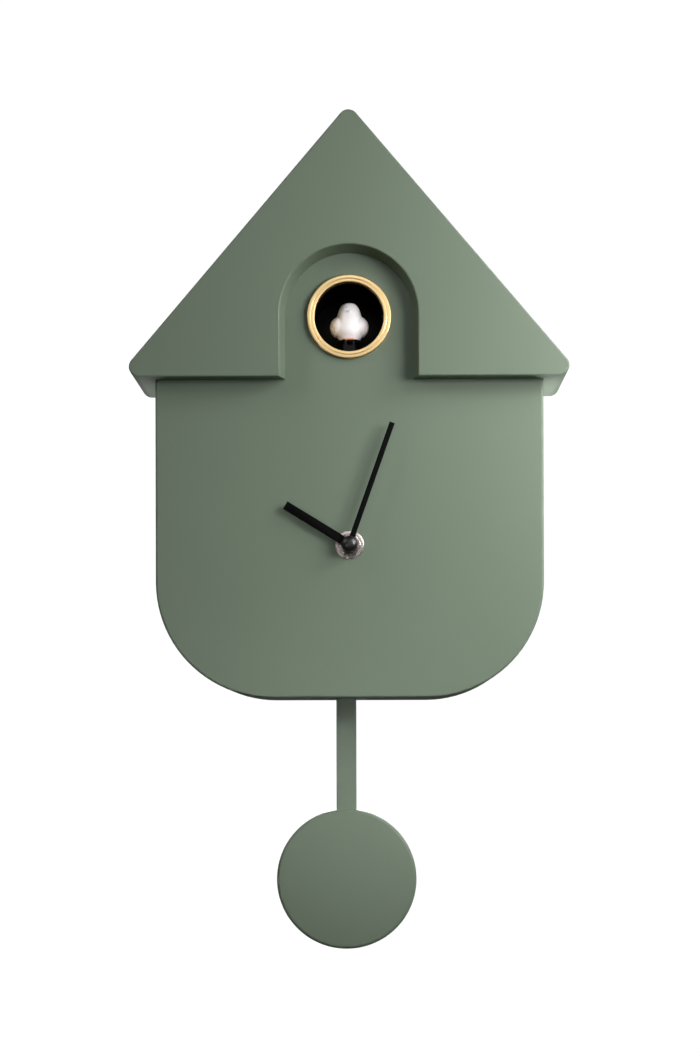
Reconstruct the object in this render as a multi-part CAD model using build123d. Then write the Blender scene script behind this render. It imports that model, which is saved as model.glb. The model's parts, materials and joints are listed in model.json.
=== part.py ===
from build123d import *
import math
import os

# Wall-hung quartz cuckoo clock with a swinging pendulum, built as separate pieces.
# Frame: X to the right seen from the front, Y into the wall (the front faces -Y,
# the wall is y = 0), Z up. Origin: centre of the keyhole's round entry, on the back.
# All sizes in millimetres.

# ---------------------------------------------------------------- driving sizes
WALL = 2.4                 # moulded wall of both shells
Y_ROOF = -80.0             # front of the roof
Y_DIAL = -68.0             # front of the dial plate
Y_PLATE = Y_DIAL + 2.6     # back of the dial plate
ROOF_HALF = 113.3          # sharp half width of the gable
EAVE_Z = -68.4             # underside of the eaves
APEX_Z = 64.6              # sharp apex
ROOF_R = 5.0               # rounded corners of the gable
EDGE_R = 0.8               # soft front edge of the roof
BODY_HALF = 95.5
BODY_BOT = -225.0
BODY_R = 57.0
ROOF_GAP = 0.3             # roof slides over the dial shell
RING_Z = -37.8             # centre of the bird's doorway
RING_RO, RING_RI = 20.65, 17.05
ARCH_RF, ARCH_RB, ARCH_RW = 33.9, 31.4, 36.6   # arch at the front, at the dial, its wall
DIAL_Z = -150.0            # centre of the hands
MINUTE_LEN, MINUTE_W, MINUTE_DEG = 63.1, 2.65, 19.5
HOUR_LEN, HOUR_W, HOUR_DEG = 37.0, 4.35, 301.6
CAP_R = 4.03
PEND_X = -2.2              # the pendulum hangs a little left of the middle
PIVOT_Z = -128.0
BOB_R, BOB_Z = 35.0, -315.4
BOB_Y0, BOB_Y1, BOB_CROWN = -42.4, -34.0, 1.0
ROD_W, ROD_Y0, ROD_Y1 = 10.0, -39.5, -37.0
TRAVEL = 22.0              # the bird comes this far out
AXLE_Y, AXLE_Z = -36.0, -75.0      # rack pinion
MOTOR_Z = AXLE_Z - 12.0
SPK_X, SPK_Z = -52.0, -152.0
RUN = 0.05                 # radial running clearance

ROOF_SCREWS = [(-70, -55), (70, -55), (-48, -8), (48, -8), (0, 24)]
CASE_SCREWS = [(0, 40), (-86, -82), (86, -82), (-84, -168), (84, -168), (-40, -214), (40, -214)]
FRAME_EARS = [(-21, -77), (21, -77)]
BOARD_POSTS = [(-80, -92), (-28, -92), (-80, -114), (-28, -114)]
BRACKET_SCREWS = [(-6.2, -133.5), (6.2, -133.5)]

HALF = math.atan2(ROOF_HALF, APEX_Z - EAVE_Z)     # half angle of the gable
S, C = math.sin(HALF), math.cos(HALF)


# ---------------------------------------------------------------- helpers
def prism(sk, y0, y1):
    """A sketch drawn in X and Z, as a solid from y0 to y1."""
    return extrude(Plane.XZ.offset(-y1) * sk, amount=y1 - y0)


def cyl(x, z, r, y0, y1):
    return prism(Pos(x, z) * Circle(r), y0, y1)


def tube(x, z, ro, ri, y0, y1):
    return cyl(x, z, ro, y0, y1) - cyl(x, z, ri, y0 - 1, y1 + 1)


def box(x0, x1, y0, y1, z0, z1):
    return Pos((x0 + x1) / 2, (y0 + y1) / 2, (z0 + z1) / 2) * Box(x1 - x0, y1 - y0, z1 - z0)


def cyl_x(y, z, r, x0, x1):
    return extrude(Plane.YZ.offset(x0) * (Pos(y, z) * Circle(r)), amount=x1 - x0)


def rect(x0, x1, z0, z1, r=0.0):
    sk = Pos((x0 + x1) / 2, (z0 + z1) / 2) * Rectangle(x1 - x0, z1 - z0)
    return fillet(sk.vertices(), r) if r else sk


def turned(pts, x=0.0, z=0.0):
    """Points (radius, y) turned about the Y axis through x, z."""
    return Pos(x, 0, z) * revolve(Polygon(*pts, align=None), axis=Axis.Y)


def gable(d, r=0.0):
    """Roof triangle, moved in by d, running on downwards without its base."""
    zl = -400.0
    xl = (-d - (zl - APEX_Z) * S) / C
    tri = Polygon((-xl, zl), (xl, zl), (0, APEX_Z - d / S), align=None)
    if r:
        tri = fillet(tri.vertices().sort_by(Axis.Y)[-1], r)
    return tri


def roof_outline(d):
    """Roof triangle with its base, moved in by d, with rounded corners."""
    zb = EAVE_Z + d
    xb = (-d - (zb - APEX_Z) * S) / C
    tri = Polygon((-xb, zb), (xb, zb), (0, APEX_Z - d / S), align=None)
    return fillet(tri.vertices(), max(ROOF_R - d, 1.2))


def body_outline(d, top=90.0):
    sk = rect(-BODY_HALF + d, BODY_HALF - d, BODY_BOT + d, top)
    low = sk.vertices().group_by(Axis.Y)[0]
    return fillet(low, BODY_R - d)


def arch(r, foot):
    """Round-headed arch about the doorway, legs straight down to foot."""
    return (Pos(0, RING_Z) * Circle(r) & rect(-r, r, RING_Z, RING_Z + r + 1)) + rect(-r, r, foot, RING_Z)


def inv(a):
    return math.tan(a) - a


def gear(z, m, add, ded, thin, phase):
    """Involute gear, 20 degree pressure angle, one tooth centred on phase (degrees)."""
    r = m * z / 2
    al = math.radians(20)
    rb = r * math.cos(al)
    ra, rf = r + add * m, r - ded * m
    half0 = math.pi / (2 * z) - thin / (2 * r) + inv(al)
    lo = max(rf, rb)
    radii = [lo, (lo + ra) / 2, ra] if rf >= rb else [rf, rb, (rb + ra) / 2, ra]
    pts = []
    for i in range(z):
        c = math.radians(phase) + 2 * math.pi * i / z
        side = []
        for rho in radii:
            h = half0 - inv(math.acos(min(1.0, rb / rho)))
            side.append((rho, h))
        for rho, h in side:
            pts.append((rho * math.cos(c - h), rho * math.sin(c - h)))
        for rho, h in reversed(side):
            pts.append((rho * math.cos(c + h), rho * math.sin(c + h)))
    return Polygon(*pts, align=None)


def mesh_phase(phase_a, za, zb, alpha):
    """Tooth phase of gear B, in mesh with gear A, whose centre lies at alpha from A's."""
    gap = (alpha + 180) - (za / zb) * (phase_a - alpha)
    return gap + 180 / zb


def screw(x, z, y_head, sign, head_r, head_h, shank_r, length):
    """Cross-head screw along Y. The head's seat is at y_head, the shank runs to sign."""
    if sign < 0:
        head = cyl(x, z, head_r, y_head, y_head + head_h)
        shank = cyl(x, z, shank_r, y_head - length, y_head)
        top = y_head + head_h
        cut = box(x - head_r * .6, x + head_r * .6, top - head_h * .5, top + 1, z - .35, z + .35) \
            + box(x - .35, x + .35, top - head_h * .5, top + 1, z - head_r * .6, z + head_r * .6)
    else:
        head = cyl(x, z, head_r, y_head - head_h, y_head)
        shank = cyl(x, z, shank_r, y_head, y_head + length)
        top = y_head - head_h
        cut = box(x - head_r * .6, x + head_r * .6, top - 1, top + head_h * .5, z - .35, z + .35) \
            + box(x - .35, x + .35, top - 1, top + head_h * .5, z - head_r * .6, z + head_r * .6)
    return head + shank - cut


def group(shapes):
    return Compound(children=list(shapes))


parts = {}


# ---------------------------------------------------------------- casing
def make_dial_shell():
    outer = prism(body_outline(0) & gable(WALL + ROOF_GAP, 3.0), Y_DIAL, 0)
    front = outer.faces().sort_by(Axis.Y)[0]
    outer = fillet(front.outer_wire().edges(), 1.2)
    s = outer - prism(body_outline(WALL) & gable(2 * WALL + ROOF_GAP, 1.5), Y_PLATE, 1)
    # under the roof the walls stop in front of the back cover
    s -= box(-120, 120, -2.7, 1, EAVE_Z + WALL + 0.2, 100)
    # holes for the ring's spigot and the threaded bush
    s -= cyl(0, RING_Z, 18.6, Y_DIAL - 1, Y_PLATE + 1)
    s -= cyl(0, DIAL_Z, 4.0, Y_DIAL - 1, Y_PLATE + 1)
    # pendulum slot in the bottom, rounded ends
    slot = Pos(0, -37, BODY_BOT) * extrude(SlotOverall(44, 14), amount=6, both=True)
    s -= slot
    # screw posts for the back cover, and the two short ones for the bird's mechanism
    for x, z in CASE_SCREWS:
        s += cyl(x, z, 3.6, Y_PLATE - 0.5, -5.6)
        s -= cyl(x, z, 1.3, -20, -5)
    for x, z in FRAME_EARS:
        s += cyl(x, z, 3.0, Y_PLATE - 0.5, -63.65)
        s -= cyl(x, z, 0.9, -66.8, -63)
    for x, z in ROOF_SCREWS:
        s -= cyl(x, z, 1.7, Y_DIAL - 1, Y_PLATE + 1)
    return s


def make_roof_shell():
    # drafted arch cut, then one soft edge around the whole front
    slope = (ARCH_RF - ARCH_RB) / (Y_DIAL - Y_ROOF)
    ya, yb = Y_ROOF - 1.0, Y_DIAL + 1.0
    ra, rb = ARCH_RF + slope, ARCH_RB - slope
    cutter = loft([Plane.XZ.offset(-ya) * arch_face(ra), Plane.XZ.offset(-yb) * arch_face(rb)], ruled=True)
    wall = prism(arch(ARCH_RW, EAVE_Z), Y_ROOF + WALL - 0.5, Y_DIAL - 0.1)
    inside = prism(roof_outline(WALL), Y_ROOF + WALL, 1) - wall
    outer = prism(roof_outline(0), Y_ROOF, Y_DIAL - 0.1) - cutter
    front = outer.faces().sort_by(Axis.Y)[0]
    outer = fillet(front.outer_wire().edges(), EDGE_R)
    s = outer - inside
    # eaves and sides run on back to the wall
    s += prism(roof_outline(0) - roof_outline(WALL), Y_DIAL - 0.1, 0)
    # the body passes up through the eaves behind their front strip
    s -= box(-BODY_HALF - 0.1, BODY_HALF + 0.1, Y_DIAL - 0.1, 1, EAVE_Z - 1, EAVE_Z + WALL + 0.1)
    for x, z in ROOF_SCREWS:
        s += cyl(x, z, 3.6, Y_ROOF + WALL - 0.5, Y_DIAL - 0.1)
        s -= cyl(x, z, 1.5, Y_ROOF + 2.6, Y_DIAL + 1)
    return s


def arch_face(r):
    foot = EAVE_Z - 3
    a = Line((-r, foot), (r, foot))
    b = Line((r, foot), (r, RING_Z))
    c = ThreePointArc((r, RING_Z), (0, RING_Z + r), (-r, RING_Z))
    d = Line((-r, RING_Z), (-r, foot))
    return make_face(a + b + c + d)


def make_back_cover():
    roof = roof_outline(WALL + 0.25) & rect(-200, 200, EAVE_Z + WALL + 0.25, 100)
    sk = roof + body_outline(WALL + 0.25, top=-60.0)
    s = prism(sk, -2.5, 0)
    # screw wells
    for x, z in CASE_SCREWS:
        s += cyl(x, z, 5.0, -5.5, -1.5)
        s -= cyl(x, z, 3.4, -3.5, 1)
        s -= cyl(x, z, 1.7, -7, 1)
    # keyhole, with a closed pocket that takes the screw's head
    s += box(-8.2, 8.2, -9.0, -1.5, -7.2, 15.2)
    s -= box(-6.7, 6.7, -7.5, -2.5, -5.7, 13.7)
    s -= cyl(0, 0, 4.5, -2.6, 1)
    s -= prism(rect(-2.25, 2.25, 0, 8) + Pos(0, 8) * Circle(2.25), -2.6, 1)
    # speaker grille and the rim that holds the speaker
    s += tube(SPK_X, SPK_Z, 26.9, 25.3, -5.5, -1.5)
    for i in range(-3, 4):
        half = math.sqrt(20.0 ** 2 - (i * 5.0) ** 2)
        s -= prism(Pos(SPK_X, SPK_Z + i * 5.0) * SlotOverall(2 * half, 2.2), -4, 1)
    # battery opening
    s -= prism(rect(23.4, 76.6, -168.4, -123.6, 1.0), -4, 1)
    # board posts, and holes for the controls and the setting knob
    for x, z in BOARD_POSTS:
        s += cyl(x, z, 2.6, -12.35, -1.5)
        s -= cyl(x, z, 0.9, -13, -4)
    s -= cyl(-76, -103, 3.4, -4, 1)
    s -= prism(Pos(-56, -103) * rect(-5.4, 5.4, -2.4, 2.4, 0.8), -4, 1)
    s -= cyl(-36, -103, 5.5, -4, 1)
    s -= cyl(14.4, DIAL_Z, 6.2, -4, 1)
    return s


def make_ring():
    pts = [(RING_RI, -70.5), (RING_RO, -70.5), (RING_RO, Y_DIAL), (18.5, Y_DIAL), (18.5, -63.9), (RING_RI, -63.9)]
    sk = Polygon(*pts, align=None)
    sk = fillet([v for v in sk.vertices() if abs(v.Y + 70.5) < 1e-6], 0.8)
    sk -= Pos(18.85, -71.45) * Circle(1.3)
    return Pos(0, 0, RING_Z) * revolve(sk, axis=Axis.Y)


def make_tunnel():
    pts = [(18.6, -65.3), (24, -65.3), (24, -63.8), (19.4, -63.8), (19.4, -22), (0, -22), (0, -24),
           (17.4, -24), (17.4, -63.6), (18.6, -63.6)]
    s = turned(pts, 0, RING_Z)
    return s - box(-2.0, 2.0, -59.5, -26.5, RING_Z - 21, RING_Z - 14)


parts["dial_shell"] = make_dial_shell()
parts["roof_shell"] = make_roof_shell()
parts["back_cover"] = make_back_cover()
parts["cuckoo_ring"] = make_ring()
parts["bird_tunnel"] = make_tunnel()

door = prism(rect(23.7, 76.3, -168.1, -123.9, 0.8), -2.2, -0.2)
for i in range(4):
    door -= box(42, 58, -0.7, 0.5, -163.6 + 2.2 * i, -162.6 + 2.2 * i)
door -= prism(rect(46, 54, -169, -166.6), -0.9, 0.5)
parts["battery_door"] = door

parts["roof_screws"] = group(screw(x, z, Y_PLATE, -1, 3.0, 1.8, 1.45, 9.6) for x, z in ROOF_SCREWS)
parts["case_screws"] = group(screw(x, z, -3.5, -1, 3.0, 2.0, 1.25, 14.0) for x, z in CASE_SCREWS)
parts["mechanism_screws"] = group(
    [screw(x, z, -62.1, -1, 1.9, 1.3, 0.85, 4.2) for x, z in FRAME_EARS]
    + [screw(x, z, -14.0, 1, 1.9, 1.3, 0.85, 6.0) for x, z in BOARD_POSTS]
    + [screw(PEND_X + x, z, -46.3, -1, 1.6, 1.1, 0.8, 1.9) for x, z in BRACKET_SCREWS])

# ---------------------------------------------------------------- quartz movement
D = DIAL_Z
MOT = (14.4, 0.0)
THIRD = (14.4 * math.cos(math.radians(120)), 14.4 * math.sin(math.radians(120)))
SECOND = (THIRD[0] + 12.75 * math.cos(math.radians(225)), THIRD[1] + 12.75 * math.sin(math.radians(225)))
INTER = (SECOND[0], SECOND[1] - 10.5)
ROTOR = (INTER[0] + 9.0 * math.cos(math.radians(-60)), INTER[1] + 9.0 * math.sin(math.radians(-60)))
Y_FRONT0, Y_FRONT1 = -64.4, -62.9       # movement's front plate
Y_REAR0, Y_REAR1 = -48.9, -47.4         # movement's rear plate
WADD, PADD, WDED, PDED = 0.65, 0.8, 1.05, 0.95
THIN = 0.09

parts["rubber_gasket"] = tube(0, D, 14.0, 4.2, Y_PLATE, Y_FRONT0)

front = prism(rect(-28, 28, D - 28, D + 28, 4), Y_FRONT0, -56)
front -= prism(rect(-26.5, 26.5, D - 26.5, D + 26.5, 2.5), Y_FRONT1, -55)
front -= cyl(0, D, 3.9, -66, -60)
for px, pz in (MOT, THIRD, SECOND, INTER, ROTOR):
    front -= cyl(px, D + pz, 0.85, -63.9, -62)
parts["movement_front"] = front

rear = prism(rect(-28, 28, D - 28, D + 28, 4), -55.95, Y_REAR1)
rear -= prism(rect(-26.5, 26.5, D - 26.5, D + 26.5, 2.5), -57, Y_REAR0)
for px, pz in ((0, 0), THIRD, SECOND, INTER, ROTOR):
    rear -= cyl(px, D + pz, 0.85, -50, -48.0)
rear -= cyl(MOT[0], D + MOT[1], 1.12, -50, -47)
for x, z in BRACKET_SCREWS:
    rear -= cyl(PEND_X + x, z, 0.85, -48.3, -47)
parts["movement_rear"] = rear

bush = tube(0, D, 3.86, 2.55, -71.0, Y_FRONT1 + 0.2)
for i in range(8):
    y = -70.6 + i * 0.75
    if y < -65.5:
        bush -= tube(0, D, 4.4, 3.62, y, y + 0.3)
parts["threaded_bush"] = bush
parts["washer"] = tube(0, D, 7.1, 4.0, Y_DIAL - 0.7, Y_DIAL)
nut = prism(Pos(0, D) * RegularPolygon(5.77, 6), -70.6, Y_DIAL - 0.7)
nut = nut & turned([(0, -70.6), (5.15, -70.6), (5.9, -70.15), (5.9, -68), (0, -68)], 0, D)
parts["fixing_nut"] = nut - cyl(0, D, 3.88, -72, -68)

# hour wheel: a disc with teeth and a pipe that carries the hour hand
ph_cannon = 0.0
ph_motion = mesh_phase(ph_cannon, 12, 36, 0.0)
ph_mpin = 18.0
ph_hour = mesh_phase(ph_mpin, 10, 40, 180.0)
hour = prism(Pos(0, D) * gear(40, 0.576, WADD, WDED, THIN, ph_hour), -62.6, -61.4)
hour += cyl(0, D, 2.5, -73.0, -61.4)
hour -= cyl(0, D, 1.72, -74, -60)
parts["hour_wheel"] = hour

# minute arbor: carries the minute hand, with the cannon pinion and a rear pivot
minute = cyl(0, D, 1.65, -75.6, -59.4)
minute += prism(Pos(0, D) * gear(12, 0.6, PADD, PDED, THIN, ph_cannon), -61.0, -59.4)
minute += cyl(0, D, 1.0, -60, Y_REAR0 - 0.1) + cyl(0, D, 0.8, -50, -48.1)
parts["minute_arbor"] = minute

motion = prism(Pos(MOT[0], D + MOT[1]) * gear(36, 0.6, WADD, WDED, THIN, ph_motion), -60.8, -59.6)
motion += prism(Pos(MOT[0], D + MOT[1]) * gear(10, 0.576, PADD, PDED, THIN, ph_mpin), -62.6, -60.6)
motion += cyl(MOT[0], D + MOT[1], 0.8, -63.8, -60) + cyl(MOT[0], D + MOT[1], 1.05, -60.5, -43.0)
parts["motion_wheel"] = motion

knob = cyl(MOT[0], D + MOT[1], 3.0, -47.2, -7.5)
knob += prism(Pos(MOT[0], D + MOT[1]) * gear(24, 0.44, 0.35, 0.35, 0.0, 0.0), -8.0, -0.8)
knob -= cyl(MOT[0], D + MOT[1], 1.07, -48, -42.9)
knob -= box(MOT[0] - 4, MOT[0] + 4, -1.6, 0, D - 0.5, D + 0.5)
parts["setting_knob"] = knob

spring = tube(0, D, 2.6, 1.02, -57.3, -56.8)
for k in range(3):
    spring -= Pos(0, 0, D) * Rot(0, k * 120 + 30, 0) * box(1.9, 3.2, -58, -56, -0.5, 0.5)
parts["clutch_spring"] = spring

# going train
ph_centre = 0.0
ph_p3 = mesh_phase(ph_centre, 80, 10, 120.0)
ph_w3 = 0.0
ph_p2 = mesh_phase(ph_w3, 75, 10, 225.0)
ph_w2 = 0.0
ph_pi = mesh_phase(ph_w2, 60, 10, 270.0)
ph_wi = 0.0
ph_pr = mesh_phase(ph_wi, 50, 10, -60.0)


def spoked(px, pz, z, m, phase, y0, y1, r_in, r_out, n):
    """Wheel with windows between its spokes."""
    w = prism(Pos(px, D + pz) * gear(z, m, WADD, WDED, THIN, phase), y0, y1)
    for k in range(n):
        a = math.radians(360 * (k + 0.5) / n + 11)
        rm = (r_in + r_out) / 2
        w -= cyl(px + rm * math.cos(a), D + pz + rm * math.sin(a), (r_out - r_in) / 2, y0 - 1, y1 + 1)
    return w


parts["centre_wheel"] = spoked(0, 0, 80, 0.32, ph_centre, -58.6, -57.4, 4.6, 11.0, 5) - cyl(0, D, 1.06, -60, -56)

third = spoked(*THIRD, 75, 0.3, ph_w3, -56.5, -55.5, 3.0, 9.6, 5)
third += prism(Pos(THIRD[0], D + THIRD[1]) * gear(10, 0.32, PADD, PDED, THIN, ph_p3), -58.8, -56.4)
third += cyl(THIRD[0], D + THIRD[1], 0.8, -63.8, -48.1)
parts["third_wheel"] = third

second = spoked(*SECOND, 60, 0.3, ph_w2, -54.6, -53.6, 2.6, 7.4, 5)
second += prism(Pos(SECOND[0], D + SECOND[1]) * gear(10, 0.3, PADD, PDED, THIN, ph_p2), -56.8, -54.5)
second += cyl(SECOND[0], D + SECOND[1], 0.8, -63.8, -48.1)
parts["second_wheel"] = second

inter = spoked(*INTER, 50, 0.3, ph_wi, -52.6, -51.6, 2.4, 6.0, 4)
inter += prism(Pos(INTER[0], D + INTER[1]) * gear(10, 0.3, PADD, PDED, THIN, ph_pi), -54.8, -52.5)
inter += cyl(INTER[0], D + INTER[1], 0.8, -63.8, -48.1)
parts["intermediate_wheel"] = inter

rotor = prism(Pos(ROTOR[0], D + ROTOR[1]) * gear(10, 0.3, PADD, PDED, THIN, ph_pr), -52.8, -51.2)
rotor += cyl(ROTOR[0], D + ROTOR[1], 2.8, -51.3, -49.8) + cyl(ROTOR[0], D + ROTOR[1], 0.8, -63.8, -48.1)
parts["rotor"] = rotor

# stator plate with the coil's core standing on two feet
stator = prism(rect(-24, 24, D - 26, D - 10.8, 2), -51.1, -50.3)
stator -= cyl(ROTOR[0], D + ROTOR[1], 3.3, -53, -49)
stator -= prism(rect(-6, 17, D - 17.5, D - 12.5, 2), -53, -49)
stator += box(-10, -7.2, -55.0, -51.0, D - 23, D - 20)
stator += box(19.2, 22, -55.0, -51.0, D - 23, D - 20)
stator += box(-8, 20, -55.0, -54.0, D - 22.5, D - 20.5)
parts["stator"] = stator
coil = Pos(0, 0, 0) * (cyl_x(-54.5, D - 21.5, 3.0, -5.5, 17.5)
                       + cyl_x(-54.5, D - 21.5, 3.35, -6.3, -5.5) + cyl_x(-54.5, D - 21.5, 3.35, 17.5, 18.3))
coil -= box(-8, 20, -55.1, -53.9, D - 22.6, D - 20.4)
coil -= box(-8, 20, -52.0, -50.0, D - 25, D - 18)
parts["coil"] = coil

board = prism(rect(-4, 25.5, D - 25.5, D - 13.5, 0.5), -61.6, -60.6)
board += prism(Pos(4, D - 20) * Circle(2.6), -60.7, -59.6)
board += box(15, 24, -60.7, -59.8, D - 25, D - 21.5)
parts["movement_board"] = board
parts["quartz_crystal"] = cyl_x(-59.5, D - 16.2, 1.05, 14, 20.2) + cyl_x(-59.5, D - 16.2, 0.3, 12.4, 14)


# hands: square-cut bars on round hubs
def hand(length, width, deg, hub_r, tail, y0, y1, bore):
    bar = rect(-width / 2, width / 2, -tail, length)
    sk = Rot(0, 0, -deg) * bar + Circle(hub_r)
    s = prism(Pos(0, D) * sk, y0, y1)
    return s - cyl(0, D, bore, y0 - 1, y1 + 1)


hh = hand(HOUR_LEN, HOUR_W, HOUR_DEG, 3.9, 0.0, -72.6, -72.0, 2.51)
parts["hour_hand"] = hh + tube(0, D, 3.3, 2.51, -73.0, -71.4)
parts["minute_hand"] = hand(MINUTE_LEN, MINUTE_W, MINUTE_DEG, 3.6, 0.0, -74.9, -74.3, 1.66)
cap_sk = make_face(Line((0, -78.7), (1.0, -78.7)) + Spline((1.0, -78.7), (2.9, -78.1), (CAP_R, -76.4), tangents=[(1, 0), (0, 1)])
                   + Line((CAP_R, -76.4), (CAP_R, -74.9)) + Line((CAP_R, -74.9), (0, -74.9)) + Line((0, -74.9), (0, -78.7)))
parts["hand_cap"] = Pos(0, 0, D) * revolve(cap_sk, axis=Axis.Y) - cyl(0, D, 1.67, -75.7, -74)

# ---------------------------------------------------------------- bird and its drive
BY = -57.0      # middle of the bird, at rest inside the tunnel
body_pts = [(5.4, -10.0), (6.9, -7.6), (7.15, -5.0), (6.75, -1.5), (5.95, 1.6), (5.6, 4.0), (4.7, 6.8), (3.0, 8.7), (0, 9.4)]
curve = Spline(*body_pts, tangents=[(0.5, 0.6), (-1, 0)])
bsk = make_face(Line((0, -10.0), body_pts[0]) + curve + Line((0, 9.4), (0, -10.0)))
bird = Pos(0, BY, RING_Z) * revolve(Plane.XZ * bsk, axis=Axis.Z)
beak = Pos(0, BY - 7.0, RING_Z + 3.3) * Rot(90, 0, 0) * Cone(1.5, 0.25, 4.4)
tail = loft([Plane.XZ.offset(-(BY + 4)) * (Pos(0, RING_Z - 2.0) * Rectangle(6.4, 7.0)),
             Plane.XZ.offset(-(BY + 15)) * (Pos(0, RING_Z + 1.0) * Rectangle(7.0, 1.4))], ruled=True)
bird_body = bird + beak + tail
parts["bird_body"] = bird_body
wing_pts = [(0, -7.2), (2.4, -6.2), (3.45, -3.0), (2.9, 0.4), (1.2, 2.4), (0, 2.7)]
wsk = make_face(Spline(*wing_pts, tangents=[(1, 0), (-1, 0)]) + Line((0, 2.7), (0, -7.2)))
wing = revolve(Plane.XZ * wsk, axis=Axis.Z)
wings = [Pos(sx * 6.3, BY + 0.5, RING_Z) * wing - bird_body for sx in (-1, 1)]
parts["bird_wings"] = group(wings)
feet = [box(sx * 1.25 - 0.95, sx * 1.25 + 0.95, BY - 7.2, BY + 1.0, RING_Z - 10.6, RING_Z - 10.0) for sx in (-1, 1)]
parts["bird_feet"] = group(feet)
perch = box(-3, 3, BY - 7.0, -28, RING_Z - 16.3, RING_Z - 13.0)
for sx in (-1, 1):
    perch += Pos(sx * 1.9, BY - 4.6, RING_Z - 11.9) * Cylinder(1.1, 2.6)
perch += box(-1.7, 1.7, -36, -28, -59.0, RING_Z - 14)
parts["bird_perch"] = perch

PITCH = math.pi * 0.8
carriage = box(-9, 9, -38.5, -11.0, -66.0, -59.0)
for sx in (-1, 1):
    carriage -= cyl(sx * 6, -63, 1.5 + RUN + 0.01, -45, -5)
rack_pts = [(-38.5, -65.8), (-38.5, -69.2)]
pz = AXLE_Z + 4.8
for j in range(-1, 10):
    yc = AXLE_Y + PITCH * (j + 0.5)
    ht, hr = 0.578 - 0.52 * math.tan(math.radians(20)), 0.578 + 1.0 * math.tan(math.radians(20))
    rack_pts += [(max(yc - hr, -38.49), -69.2), (yc - ht, pz - 0.52), (yc + ht, pz - 0.52), (min(yc + hr, -11.01), -69.2)]
rack_pts += [(-11.0, -69.2), (-11.0, -65.8)]
clean = [p for i, p in enumerate(rack_pts) if i == 0 or math.dist(p, rack_pts[i - 1]) > 1e-4]
carriage += extrude(Plane.YZ.offset(-4) * Polygon(*clean, align=None), amount=8)
parts["bird_carriage"] = carriage

parts["guide_rods"] = group(cyl(sx * 6, -63, 1.5, -63.5, -8.05) for sx in (-1, 1))

fr = box(-17, 17, -63.6, -62.1, -95, -58.5) + box(-26, 26, -63.6, -62.1, -83, -71)
fr += box(-17, -15, -62.2, -8, -95, -58.5) + box(15, 17, -62.2, -8, -95, -58.5)
fr += box(-16, 16, -9.5, -8, -95, -58.5)
for sx in (-1, 1):
    fr -= cyl(sx * 6, -63, 1.52, -65, -5)
fr -= cyl_x(AXLE_Y, AXLE_Z, 1.5 + RUN, -20, 20)
for x, z in FRAME_EARS:
    fr -= cyl(x, z, 1.0, -66, -60)
for sx in (-1, 1):
    fr -= box(sx * 16 - 2, sx * 16 + 2, -57, -44, -90, -64) + box(sx * 16 - 2, sx * 16 + 2, -28, -14, -90, -64)
parts["cuckoo_frame"] = fr

ph_rackp = 90.0                                  # one tooth straight up, in a gap of the rack
dg = extrude(Plane.YZ.offset(-4) * (Pos(AXLE_Y, AXLE_Z) * gear(12, 0.8, 0.8, 1.0, 0.1, ph_rackp)), amount=8)
dg += extrude(Plane.YZ.offset(10) * (Pos(AXLE_Y, AXLE_Z) * gear(36, 0.5, WADD, WDED, THIN, 0.0)), amount=3)
dg += cyl_x(AXLE_Y, AXLE_Z, 1.5, -17.5, 17.5) + cyl_x(AXLE_Y, AXLE_Z, 2.6, 4, 10.2)
parts["drive_gear"] = dg
ph_mp = mesh_phase(0.0, 36, 12, 270.0)
mp = extrude(Plane.YZ.offset(9.7) * (Pos(AXLE_Y, MOTOR_Z) * gear(12, 0.5, PADD, PDED, THIN, ph_mp)), amount=3.6)
parts["motor_pinion"] = mp - cyl_x(AXLE_Y, MOTOR_Z, 0.8, 5, 20)
mt = cyl_x(AXLE_Y, MOTOR_Z, 6.0, -15, 5.6) & box(-16, 20, AXLE_Y - 6, AXLE_Y + 6, MOTOR_Z - 5, MOTOR_Z + 5.0)
mt += cyl_x(AXLE_Y, MOTOR_Z, 3.0, 5.5, 7.0) + cyl_x(AXLE_Y, MOTOR_Z, 0.75, 6.9, 14.4)
parts["cuckoo_motor"] = mt

# ---------------------------------------------------------------- sound and power
sf = turned([(21.6, -4.0), (25.0, -4.0), (25.0, -2.6), (21.6, -2.6)], SPK_X, SPK_Z)
sf += turned([(23.6, -4.2), (22.4, -4.2), (12.4, -12.0), (0, -12.0), (0, -13.0), (13.2, -13.0)], SPK_X, SPK_Z)
sf += turned([(21.6, -4.3), (23.8, -4.3), (23.8, -3.8), (21.6, -3.8)], SPK_X, SPK_Z)
for k in range(4):
    a = math.radians(45 + 90 * k)
    sf -= cyl(SPK_X + 17.8 * math.cos(a), SPK_Z + 17.8 * math.sin(a), 3.4, -13, -5)
parts["speaker_frame"] = sf
parts["speaker_cone"] = turned([(21.5, -3.6), (21.5, -3.2), (19.2, -3.2), (7.2, -9.0), (5.0, -7.9), (0, -7.4), (0, -8.0),
                                (4.8, -8.5), (7.2, -9.6), (19.0, -3.8), (20.2, -3.6)], SPK_X, SPK_Z)
parts["speaker_magnet"] = cyl(SPK_X, SPK_Z, 11.5, -18.4, -13.0) + cyl(SPK_X, SPK_Z, 9.5, -19.4, -18.3)

pcb = box(-84, -24, -14.0, -12.4, -118, -88)
for x, z in BOARD_POSTS:
    pcb -= cyl(x, z, 1.0, -16, -10)
pcb += prism(Pos(-66, -96) * rect(-5, 5, -3.5, 3.5), -15.4, -13.9)
pcb += cyl(-44, -95, 2.5, -19.5, -13.9) + cyl(-68, -110, 2.0, -18.0, -13.9)
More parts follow.
